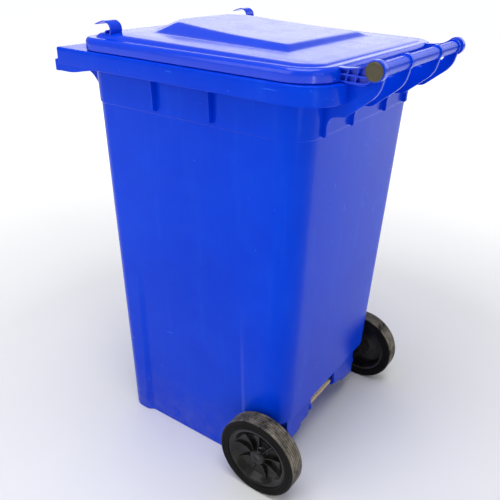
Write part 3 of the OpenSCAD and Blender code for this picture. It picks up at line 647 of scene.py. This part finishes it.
class BIN_OT_handle(bpy.types.Operator):
    """Adds the handle bar with its rings and the four brackets that carry it"""
    bl_idname = "bin.add_handle"
    bl_label = "Handle bar"

    def execute(self, context):
        s = millimetres(context.scene.bin_tub)
        blue, top, rear = finish("blue tub moulding"), s.rim_top, s.top_rear
        low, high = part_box("hinge_pin_right")
        bar_y, bar_z = 500 * (low.y + high.y), 500 * (low.z + high.z)
        shape = rounded([
            (rear + 2, top - 106), (rear + 12, top - 106), (rear + 12, top - 84), (rear + 16, top - 72),
            (rear + 24, top - 65), (bar_y - 55, top - 62), (bar_y - 5, top - 22), (bar_y + 5, top - 8),
            (bar_y + 9, top + 8), (bar_y + 11, bar_z - 9), (bar_y - 12, bar_z - 9), (bar_y - 20, top - 4),
            (s.rim_rear - 5, top - 2.5), (rear + 2, top - 2.5)], 7)
        centres = (s.bracket_inner, s.bracket_outer)
        make("handle_brackets", mirrored([prism(shape, x - 4.5, x + 4.5, "X") for x in centres]),
             blue, "bin", ["tub"], bevel=1.3)

        r, big = s.bar_radius, s.ring_radius
        hoop = rounded([(-6.5, r - 1), (-6.5, big - 0.2), (-5.5, big), (5.5, big), (6.5, big - 0.2),
                        (6.5, r - 1)], 1.4)
        make("bar_rings", mirrored([turned(hoop, (x, bar_y, bar_z), closed=True) for x in centres]),
             blue, "bin", ["tub"])

        places = np.sort(np.concatenate([sign * x + offset for x in centres for sign in (-1, 1)
                                         for offset in (np.array([-11, -9, -8, -7.2, -6, 6, 7.2, 8, 9, 11]),
                                                        )]))
        places = places[np.abs(places) < s.bracket_outer]
        gap = np.min(np.abs(np.abs(places)[:, None] - np.array(centres)), axis=1)
        angle = np.linspace(0, 2 * np.pi, 96, endpoint=False)
        bead = np.exp(-((angle - np.radians(305)) / 0.11) ** 2)
        radius = r + 1.4 * np.exp(-np.maximum(gap - 6.5, 0) / 1.3)[:, None] + 0.9 * bead[None]
        bar = np.stack([np.repeat(places[:, None], 96, 1), bar_y + radius * np.cos(angle),
                        bar_z + radius * np.sin(angle)], -1)
        make("handle_bar", [grid(bar, caps=True)], blue, "bin", ["tub"])

        cup = [(-1.5, 0.05), (-1.5, 2.2), (0.02, 2.2), (0.16, 1.9), (0.16, 0.05)]
        make("drain_holes", [turned(cup, (x, bar_y + r, bar_z), 32, "Y") for x in (-8, -30)],
             finish("drain hole shade"), "bin", ["tub"])
        return {"FINISHED"}


class BIN_OT_axle_brackets(bpy.types.Operator):
    """Adds the two brackets at the foot of the rear wall that hold the axle"""
    bl_idname = "bin.add_axle_brackets"
    bl_label = "Axle brackets"

    def execute(self, context):
        s = millimetres(context.scene.bin_tub)
        low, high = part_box("axle")
        axle_y, axle_z = 500 * (low.y + high.y), 500 * (low.z + high.z)
        web, roof = s.base_rear - 14, s.recess_top + 3
        cheek = rounded([(s.recess_front + 26, roof), (web + 2, roof), (web + 2, axle_z - 8),
                         (axle_y, axle_z - 10), (axle_y - 15, axle_z + 6)], 5)
        boss = rounded([(0, 10.2), (0, 18), (6, 18), (6, 10.2)], 0.8, 2)
        back = rounded([(62, roof), (62.5, axle_z + 12), (68, axle_z - 4), (76, 83), (100, 82), (110, 81),
                        (113, 71), (124, 66), (158, 64), (172, 61.5), (178, 63), (178, roof)], 6)
        parts = [prism(cheek, x, x + 6, "X") for x in (62, 172)]
        parts += [turned(boss + [x, 0], (0, axle_y, axle_z), 64, closed=True) for x in (62, 172)]
        parts += [prism(back, web, web + 5, "Y")]
        make("axle_brackets", mirrored(parts), finish("blue tub moulding"), "bin", ["tub"],
             bevel=0.9)
        return {"FINISHED"}


# ---- Lid ----

SHOULDER = [(3.3, 1.6), (2.7, 1.0), (0.9, 1.0), (0.25, 1.5), (0, 2.6), (0, 7), (0, 12), (0.1, 16),
            (0.6, 19.4), (1.9, 22.4), (4.0, 24.7), (7.2, 26.1), (11, 26.6), (15, 26.4), (18.3, 25.8),
            (20.4, 25.8), (22.2, 26.6), (24.3, 28.7), (26.4, 30.9), (29.3, 32.9), (33, 34.4), (38, 35.5)]
UNDERSIDE = [(3.5, 2.6), (3.5, 8), (3.6, 15), (4.4, 18.6), (6.3, 21.2), (9.4, 22.8), (13, 23), (18, 22.3),
             (22, 22.4), (25, 24.2), (27.6, 27.4), (30.5, 29.4), (34.5, 30.9), (41.5, 32)]
PANEL_FOOT = np.array([[-142, -224.5], [142, -224.5], [192, -186.5], [181, 163.5], [-181, 163.5],
                       [-192, -186.5]])
PANEL_TOP = np.array([[-117, -182.5], [117, -182.5], [148, -121.5], [138, 136.5], [-138, 136.5],
                      [-148, -121.5]])


def raised_panel(s, x, y, drop):
    """Height of the raised panel over the rim: the soft least of its six side planes and its falling top
    plane, each moved down its own normal by drop."""
    def top(at):
        share = np.clip((at + 182.5) / 319, -0.3, 1.3)
        sag = 2.2 * np.sin(np.pi * np.clip(share, 0, 1))
        return s.panel_front + (s.panel_rear - s.panel_front) * share - sag
    middle = (PANEL_TOP + np.roll(PANEL_TOP, -1, 0)) / 2
    corners = np.stack([PANEL_FOOT, np.roll(PANEL_FOOT, -1, 0), middle], 1)
    heights = np.stack([np.full(6, 28.0), np.full(6, 28.0), top(middle[:, 1])], 1)
    planes = np.linalg.solve(np.concatenate([corners, np.ones((6, 3, 1))], -1), heights[..., None])[..., 0]
    thick = drop * np.sqrt(1 + planes[:, 0] ** 2 + planes[:, 1] ** 2)
    all_planes = [p[0] * x + p[1] * y + p[2] - t for p, t in zip(planes, thick)] + [top(y) - drop]
    soft = 1.3
    return -soft * np.log(np.sum([np.exp(-np.clip(h, -300, 300) / soft) for h in all_planes], axis=0))


def lid_side(s, profile, top, drop, rows):
    """One side of the lid from its edge to its middle: offset outlines of the plan along the profile of inset
    and height, then the last outline shrunk evenly to the middle, its height the soft greatest of the crown,
    which falls to the rear, and the raised panel."""
    profile = np.asarray(profile, float)
    d = profile[:, 0]
    edge = outline(s.half - d, s.front - d, s.rear - d, np.maximum(s.front_corner - d, 8),
                   np.maximum(s.rear_corner - d, 20), 84, turn=12, ends=84)
    fall = s.crown_fall * np.interp(d, [21, 25, 30, 38], [0, 0.4, 0.8, 1])[:, None]
    run = (edge[..., 1] + s.front) / (s.front + s.rear)
    ring_height = profile[:, 1:] - fall * run
    centre = np.array([0, (s.rear - s.front) / 2])
    share = np.linspace(1, 0.012, rows)[1:, None, None]
    inside = centre + (edge[-1:] - centre) * share
    x, y = inside[..., 0], inside[..., 1]
    reach = np.minimum(s.half - np.abs(x), np.minimum(y + s.front, s.rear - y))
    crown = np.interp(reach, [38, 60, 120, 280], [35.5, 36.6, 37.5, 37.9]) - drop
    crown = crown - s.crown_fall * (y + s.front) / (s.front + s.rear)
    crown = crown + (ring_height[-1:] - crown[:1]) * np.clip(1 - (reach - d[-1]) / 18, 0, 1)
    soft = 1.5
    body = soft * np.logaddexp(crown / soft, raised_panel(s, x, y, drop) / soft)
    points = np.concatenate([edge, inside], 0)
    return np.concatenate([points, top + np.concatenate([ring_height, body], 0)[..., None]], -1)


class BIN_OT_lid(bpy.types.Operator):
    """Adds the lid's shell, its two curled handles and its two hinge arms"""
    bl_idname = "bin.add_lid"
    bl_label = "Lid"

    def execute(self, context):
        s = millimetres(context.scene.bin_lid)
        top = context.scene.bin_tub.rim_top * 1000
        blue = finish("blue lid moulding")
        outside = lid_side(s, SHOULDER, top, 0.0, 66)
        inside = lid_side(s, UNDERSIDE, top, s.wall, 40)
        make("lid_shell", [grid(np.concatenate([inside[::-1], outside]), caps=True)], blue, "lid",
             ["lid"], sharp=60)

        roll_y, roll_z, roll = s.curl_back - s.front, top + 33.5, 7.4
        turn = np.radians(np.linspace(110, 352, 26))
        spine = np.concatenate([
            np.stack([roll * np.cos(turn), roll * np.sin(turn)], 1),
            flowing([(8.2, 3), (9.2, 9), (7.4, 16.8), (1, 22.4), (-9, 24.9), (-22, 21.9), (-35.6, 16.9)],
                    30)])
        chord = np.gradient(spine, axis=0)
        normal = np.stack([-chord[:, 1], chord[:, 0]], 1) / np.linalg.norm(chord, axis=1)[:, None]
        thick = np.interp(np.arange(len(spine)), [0, 4, 30, len(spine) - 1], [1.0, 1.7, 1.9, 0.7])[:, None]
        strip = np.concatenate([spine + normal * thick, (spine - normal * thick)[::-1]]) + [roll_y, roll_z]
        left, right = s.curl_centre - s.curl_width / 2, s.curl_centre + s.curl_width / 2
        seat = top + 33 - 0.4 * s.wall
        foot = rounded([(roll_y - 7, seat), (roll_y - 5.5, seat + 3), (roll_y + 5.5, seat + 3),
                        (roll_y + 7.5, seat)], 1)
        make("lid_curls", mirrored([prism(strip, left, right, "X"), prism(foot, left + 2, right - 2, "X")]),
             blue, "lid", ["lid"], bevel=0.7, sharp=32)

        low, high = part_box("hinge_pin_right")
        bar_y, bar_z = 500 * (low.y + high.y), 500 * (low.z + high.z)
        near, far, rear = s.arm_inner, s.arm_inner + s.arm_width, s.rear
        shape = rounded([(rear - 10, top + 2.5), (rear + 18, top + 1.5), (bar_y - 16, top + 2),
                         (bar_y - 6, top + 7), (bar_y - 7, bar_z - 6), (bar_y - 10, bar_z + 14.5),
                         (bar_y - 18, bar_z + 9), (bar_y - 30, top + 29), (rear + 10, top + 26),
                         (rear - 10, top + 26)], 6)
        parts = [prism(inset_loop(shape, 1.2), near, near + 4.5, "X"), frame_loop(shape, 2.6, near, far)]
        for foot_y, lean in ((rear + 10, 4), (rear + 27, 6)):
            parts.append(prism([(foot_y, top + 3), (foot_y + 2.2, top + 3), (foot_y + 2.2 + lean, top + 26),
                                (foot_y + lean, top + 26)], near + 1, far - 0.6, "X"))
        parts.append(prism([(rear - 9, top + 14), (bar_y - 12, top + 13), (bar_y - 12, top + 15.4),
                            (rear - 9, top + 16.6)],
                           near + 1, far - 0.6, "X"))
        eye = rounded([(near, 8.1), (near, s.eye_radius), (far, s.eye_radius), (far, 8.1)], 1.4)
        parts.append(turned(eye, (0, bar_y, bar_z), closed=True))
        make("lid_arms", mirrored(parts), blue, "lid", ["lid"], bevel=0.5)
        return {"FINISHED"}


class BIN_OT_hinge_pins(bpy.types.Operator):
    """Adds the two hinge pins with their flat heads"""
    bl_idname = "bin.add_hinge_pins"
    bl_label = "Hinge pins"

    def execute(self, context):
        for side, sign in (("right", 1), ("left", -1)):
            low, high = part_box(f"hinge_pin_{side}")
            tip, head = (low.x, high.x) if sign > 0 else (-high.x, -low.x)
            tip, head = tip * 1000, head * 1000
            radius = 500 * (high.z - low.z)
            profile = np.array([(tip, 0.05), (tip, 7), (tip + 1, 7.95), (head - 5, 7.95),
                                (head - 5, radius - 0.8), (head - 4.5, radius), (head - 1.6, radius),
                                (head - 0.6, radius - 0.6), (head, radius - 1.8), (head, radius - 3),
                                (head - 0.7, radius - 3.8), (head - 0.7, 3), (head - 0.3, 1.6),
                                (head - 0.25, 0.05)])
            centre = (0, 500 * (low.y + high.y), 500 * (low.z + high.z))
            points, faces = turned(profile, centre)
            make(f"pin_{side}", [(points * [sign, 1, 1], faces)], finish("olive pin plastic"), "bin",
                 [f"hinge_pin_{side}"], sharp=30)
        return {"FINISHED"}


# ---- Wheels ----


def tyre_section(s):
    """Closed section of a tyre, places across it and radii: seat, ringed side walls, rounded shoulders and a
    tread with fine grooves."""
    half = s.width / 2
    side = [(-half + 4, s.seat), (-half + 2, s.seat + 1.5), (-half + 0.8, s.seat + 2), (-half, s.seat + 3.5)]
    for r in (s.radius - 17.5, s.radius - 13, s.radius - 8.5):
        side += [(-half, r - 1.5), (-half + 1.1, r - 0.7), (-half + 1.1, r + 0.7), (-half, r + 1.5)]
    side += [(-half, s.radius - 5.5), (-half + 0.5, s.radius - 3), (-half + 1.8, s.radius - 1.2),
             (-half + 3.8, s.radius - 0.3), (-half + 6, s.radius)]
    tread = []
    for g in (-12, -6, 0, 6, 12):
        tread += [(g - 0.9, s.radius), (g - 0.5, s.radius - 1.1), (g + 0.5, s.radius - 1.1),
                  (g + 0.9, s.radius)]
    return np.array(side + tread + [(-x, r) for x, r in side[::-1]])


def wheel_section(s, hub_end):
    """Section of a wheel rim from the bottom of its bore round to the closed end of its hub."""
    half = s.width / 2 - 3
    return np.array([
        (hub_end - 4, 0.05), (hub_end - 4, 10.15), (-24, 10.15), (-24, s.hub), (-6, s.hub), (-4.5, s.hub + 3),
        (-2, s.seat - 9), (-4, s.seat - 7.4), (-half, s.seat - 7), (-half, s.seat + 1.5),
        (-half + 2, s.seat + 1.5), (-half + 4, s.seat), (half - 4, s.seat), (half - 2, s.seat + 1.5),
        (half - 0.4, s.seat + 1.5), (half, s.seat + 0.8), (half, s.seat - 3.5), (half - 0.7, s.seat - 5),
        (half - 2.4, s.seat - 7.6), (half - 6, s.seat - 11), (8, s.seat - 15.5), (4, s.seat - 20),
        (1.8, s.seat - 27), (0.6, s.seat - 38), (0.4, s.hub - 2), (1.6, s.hub - 6), (4, s.hub - 8),
        (hub_end - 5, s.hub - 9.4), (hub_end - 2, s.hub - 10.6), (hub_end - 0.4, s.hub - 12.6),
        (hub_end, s.hub - 15), (hub_end, 6), (hub_end - 0.8, 4.6), (hub_end - 0.8, 0.05)])


class BIN_OT_wheels(bpy.types.Operator):
    """Adds the tyres and the ribbed wheel rims on both sides"""
    bl_idname = "bin.add_wheels"
    bl_label = "Wheels"

    def execute(self, context):
        s = millimetres(context.scene.bin_wheels)
        for side, sign in (("right", 1), ("left", -1)):
            low, high = (corner * 1000 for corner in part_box(f"tyre_{side}"))
            middle, hub_end = sign * (low.x + high.x) / 2, 18
            centre = np.array([middle, (low.y + high.y) / 2, (low.z + high.z) / 2])
            flip = [sign, 1, 1]
            points, faces = turned(tyre_section(s), centre, 160, closed=True)
            tyre = make(f"rubber_tyre_{side}", [(points * flip, faces)], finish("tyre rubber with tread dust and painted groove shade"),
                        f"wheel_{side}", [f"tyre_{side}"], sharp=30)
            # Tread mask: 1 on the tread's face, 0 in the groove bottoms and on the side walls. It puts real
            # dust on the tread and keeps it out of the grooves so they stay dark, painted shade in the
            # grooves.
            reach = np.linalg.norm((points - centre)[:, 1:], axis=1)
            tread = tyre.data.attributes.new("tread", "FLOAT", "POINT")
            tread.data.foreach_set("value", smooth_step(reach, s.radius - 1.2, s.radius - 0.1))

            body = turned(wheel_section(s, hub_end), centre, 128)
            rib = rounded([(s.hub - 12, -1), (s.hub - 12, hub_end - 4), (s.hub - 4, 11), (s.hub + 6, 8.5),
                           (s.seat - 20, 8), (s.seat - 7, s.width / 2 - 6), (s.seat - 7, -1)], 4)
            flat_points, rib_faces = prism(rib, -1.3, 1.3, "Z")
            angle = np.arange(s.spokes) * 2 * np.pi / s.spokes + 0.2
            radius, across, aside = flat_points.T
            ribs = [(np.stack([across, radius * np.cos(a) - aside * np.sin(a),
                               radius * np.sin(a) + aside * np.cos(a)], -1)
                     + centre, rib_faces) for a in angle]
            parts = [(points * flip, faces) for points, faces in [body] + ribs]
            make(f"ribbed_rim_{side}", parts, finish("black wheel moulding"), f"wheel_{side}",
                 [f"wheel_rim_{side}"], bevel=0.5, sharp=34)
        return {"FINISHED"}


class BIN_OT_springs(bpy.types.Operator):
    """Adds the coil springs behind the lock pins: a round wire on a helix of four turns with flat ends."""
    bl_idname = "bin.add_springs"
    bl_label = "Lock springs"

    def execute(self, context):
        for side in ("right", "left"):
            low, high = (corner * 1000 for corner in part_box(f"lock_spring_{side}"))
            wire, turns = 0.45, 4
            coil = (high.y - low.y) / 2 - wire
            share = np.linspace(0, 1, turns * 36 + 1)
            angle = (2 * np.pi * turns * share)[:, None]
            climb = (low.z + wire + (high.z - low.z - 2 * wire) * share)[:, None]
            around = np.linspace(0, 2 * np.pi, 12, endpoint=False)[None]
            reach = coil + wire * np.cos(around)
            points = np.stack([(low.x + high.x) / 2 + reach * np.cos(angle),
                               (low.y + high.y) / 2 + reach * np.sin(angle),
                               climb + wire * np.sin(around) + 0 * angle], -1)
            spring = make(f"coil_spring_{side}", [grid(points, caps=True)], finish("bright spring steel"),
                          f"wheel_{side}", [f"lock_spring_{side}"])
            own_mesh(spring)
        return {"FINISHED"}


class BIN_OT_fittings(bpy.types.Operator):
    """Gives the axle, its spacers and the lock pins their finishes"""
    bl_idname = "bin.finish_fittings"
    bl_label = "Axle and lock finishes"

    def execute(self, context):
        finishes = {"axle": "plated axle steel", "spacer": "black wheel moulding",
                    "lock_pin": "plated axle steel"}
        for start, name in finishes.items():
            for node in [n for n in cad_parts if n.startswith(start)]:
                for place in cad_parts[node].material_slots:
                    place.material = finish(name)
        return {"FINISHED"}


# Half the floor's side in metres, and the sky's strength as light and as seen by the camera
FLOOR_REACH = 9
SKY_LIGHT, SKY_SEEN = 0.3, 1.05


class BIN_OT_stage(bpy.types.Operator):
    """Adds the pale floor, the soft lights and the camera"""
    bl_idname = "bin.set_stage"
    bl_label = "Stage"

    def execute(self, context):
        scene = context.scene
        mesh = bpy.data.meshes.new("pale_floor")
        corners = [(x * FLOOR_REACH, y * FLOOR_REACH, 0) for x, y in ((-1, -1), (1, -1), (1, 1), (-1, 1))]
        mesh.from_pydata(corners, [], [(0, 1, 2, 3)])
        floor = bpy.data.objects.new("pale_floor", mesh)
        scene.collection.objects.link(floor)
        pale = bpy.data.materials.new("pale floor")
        pale.use_nodes = True
        w = Wiring(pale.node_tree)
        shader = pale.node_tree.nodes["Principled BSDF"]
        shader.inputs["Roughness"].default_value = 0.9
        grain = w.noise(w.node("TexCoord").outputs["Object"], 3.0, 4.0)
        w.feed(shader.inputs["Base Color"], w.blend(grain, (0.88, 0.88, 0.89, 1), (0.92, 0.92, 0.92, 1)))
        reach = w.node("VectorMath", {"operation": "LENGTH"})
        w.feed(reach.inputs[0], w.node("TexCoord").outputs["Object"])
        w.feed(shader.inputs["Emission Strength"], w.spread(reach.outputs["Value"], 0.9, 3.2, 0.0, 0.75))
        shader.inputs["Emission Color"].default_value = (1, 1, 1, 1)
        mesh.materials.append(pale)

        world = bpy.data.worlds.new("pale surround")
        world.use_nodes = True
        world.node_tree.nodes["Background"].inputs["Color"].default_value = (0.95, 0.96, 1.0, 1)
        scene.world = world
        sky = Wiring(world.node_tree)
        seen = sky.node("LightPath").outputs["Is Camera Ray"]
        sky.feed(world.node_tree.nodes["Background"].inputs["Strength"],
                 sky.spread(seen, 0.0, 1.0, SKY_LIGHT, SKY_SEEN))
        scene.view_settings.view_transform = "Standard"

        for name, place, aim, size, power in (
                ("window behind", (-3.6, -2.4, 1.9), (0, 0, 0.9), (4.2, 1.5), 26),
                ("overhead soft box", (0.6, 0.2, 3.6), (0, 0, 0.5), (2.6, 2.6), 85),
                ("front soft box", (3.2, -1.2, 2.0), (0.1, 0, 0.5), (2.2, 2.2), 27),
                ("rear soft box", (1.2, 3.4, 1.8), (0, 0, 0.5), (1.8, 2.0), 6),
                ("corner strip", (1.45, 2.15, 0.35), (0.22, 0.2, 0.7), (0.3, 0.9), 4),
                ("side window", (-3.6, 1.0, 2.0), (0, 0.35, 1.0), (2.2, 1.6), 16)):
            light = bpy.data.objects.new(name, bpy.data.lights.new(name, "AREA"))
            light.data.shape, light.data.energy = "RECTANGLE", power
            light.data.size, light.data.size_y = size
            light.location = place
            back = np.array(place, float) - np.array(aim, float)
            light.rotation_mode = "QUATERNION"
            light.rotation_quaternion = Vector(-back).to_track_quat("-Z", "Y")
            scene.collection.objects.link(light)

        camera = bpy.data.objects.new("camera", bpy.data.cameras.new("camera"))
        scene.collection.objects.link(camera)
        yaw, pitch, roll = np.radians([-147.6, 26.3, 2.1])
        forward = np.array([np.cos(yaw) * np.cos(pitch), np.sin(yaw) * np.cos(pitch), -np.sin(pitch)])
        level = np.array([np.sin(yaw), -np.cos(yaw), 0])
        upright = np.cross(level, forward)
        across = np.cos(roll) * level + np.sin(roll) * upright
        up = np.cos(roll) * upright - np.sin(roll) * level
        camera.location = (1.130, 0.7485, 1.163)
        camera.rotation_mode = "QUATERNION"
        camera.rotation_quaternion = Matrix(np.stack([across, up, -forward], 1).tolist()).to_quaternion()
        camera.data.lens, camera.data.shift_x, camera.data.shift_y = 42.6, -0.0504, -0.0134
        camera.data.clip_start, camera.data.clip_end = 0.01, 50
        scene.camera = camera
        return {"FINISHED"}


OPERATORS = (BIN_OT_tub, BIN_OT_rim, BIN_OT_handle, BIN_OT_axle_brackets, BIN_OT_lid, BIN_OT_hinge_pins,
             BIN_OT_wheels, BIN_OT_springs, BIN_OT_fittings, BIN_OT_stage)
GROUPS = {"bin_tub": TubSizes, "bin_lid": LidSizes, "bin_wheels": WheelSizes, "bin_finishes": Finishes}


class BIN_PT_panel(bpy.types.Panel):
    """Lists the bin's pieces and settings"""
    bl_idname = "BIN_PT_panel"
    bl_label = "Refuse bin"
    bl_space_type = "VIEW_3D"
    bl_region_type = "UI"
    bl_category = "Bin"

    def draw(self, context):
        for operator in OPERATORS:
            self.layout.operator(operator.bl_idname)
        for name in GROUPS:
            settings = getattr(context.scene, name)
            box = self.layout.box()
            for field in type(settings).__annotations__:
                box.prop(settings, field)


def register():
    """Registers the settings, the operators and the panel."""
    for kind in (*GROUPS.values(), *OPERATORS, BIN_PT_panel):
        bpy.utils.register_class(kind)
    for name, kind in GROUPS.items():
        setattr(bpy.types.Scene, name, bpy.props.PointerProperty(type=kind))


def unregister():
    """Takes the panel, the operators and the settings away again."""
    for name in GROUPS:
        delattr(bpy.types.Scene, name)
    for kind in reversed((*GROUPS.values(), *OPERATORS, BIN_PT_panel)):
        bpy.utils.unregister_class(kind)


def main():
    """Builds every piece and the stage."""
    register()
    for operator in OPERATORS:
        group, name = operator.bl_idname.split(".")
        getattr(getattr(bpy.ops, group), name)()


if __name__ == "__main__":
    main()
